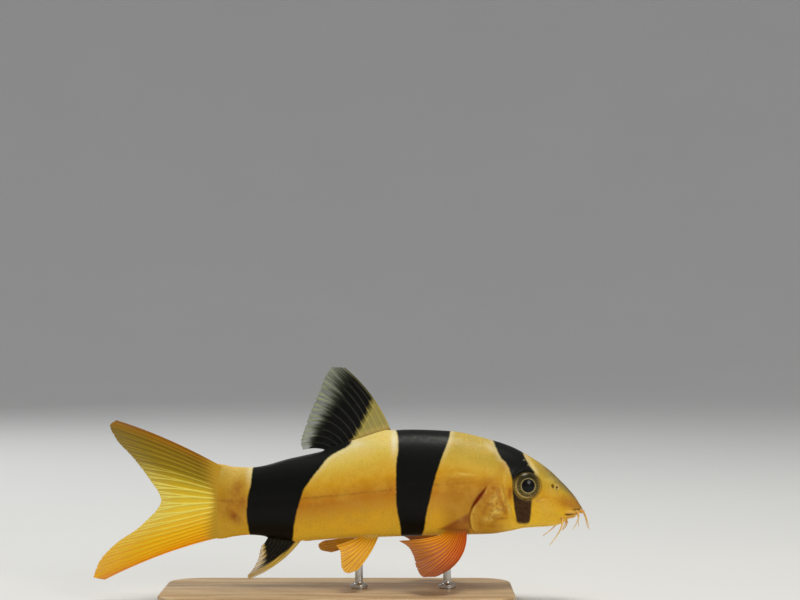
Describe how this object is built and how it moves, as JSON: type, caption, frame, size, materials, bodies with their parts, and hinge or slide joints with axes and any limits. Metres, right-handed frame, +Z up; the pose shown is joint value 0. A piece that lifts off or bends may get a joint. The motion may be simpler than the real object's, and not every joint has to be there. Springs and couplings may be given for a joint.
{
  "type": "clown loach fish model",
  "caption": "Still, life-size model of a young clown loach swimming level, its fins and feelers spread, held over a flat base by short rods under its belly.",
  "frame": {"origin": "middle of the stand base's flat underside, on the surface that the stand stands on", "axes": "+X along the fish towards its snout, +Y towards its left flank, +Z up from the base to the back"},
  "size_m": [0.0996, 0.034, 0.0473],
  "materials": {
    "loach_skin": "satin, wet-looking skin, golden with black bands",
    "loach_eye": "clear gloss",
    "fin_black": "satin, thin and slightly clear at the margins",
    "fin_amber": "satin, thin and slightly clear",
    "fin_orange": "satin, thin and slightly clear",
    "barbel_flesh": "satin",
    "stand_wood": "oiled pale wood",
    "stand_steel": "satin"
  },
  "bodies": {
    "root": {"head": "loach_skin", "trunk": "loach_skin", "tail_stalk": "loach_skin", "eye_right": "loach_eye", "eye_left": "loach_eye", "dorsal_fin": "fin_black", "anal_fin": "fin_black", "caudal_fin_upper": "fin_amber", "caudal_fin_lower": "fin_amber", "pectoral_fin_right": "fin_orange", "pectoral_fin_left": "fin_orange", "pelvic_fin_right": "fin_orange", "pelvic_fin_left": "fin_orange", "barbel_rostral_outer_right": "barbel_flesh", "barbel_rostral_outer_left": "barbel_flesh", "barbel_rostral_inner_right": "barbel_flesh", "barbel_rostral_inner_left": "barbel_flesh", "barbel_maxillary_right": "barbel_flesh", "barbel_maxillary_left": "barbel_flesh", "barbel_mandibular_right": "barbel_flesh", "barbel_mandibular_left": "barbel_flesh", "stand_base": "stand_wood", "stand_rod_front": "stand_steel", "stand_rod_rear": "stand_steel"}
  },
  "joints": []
}
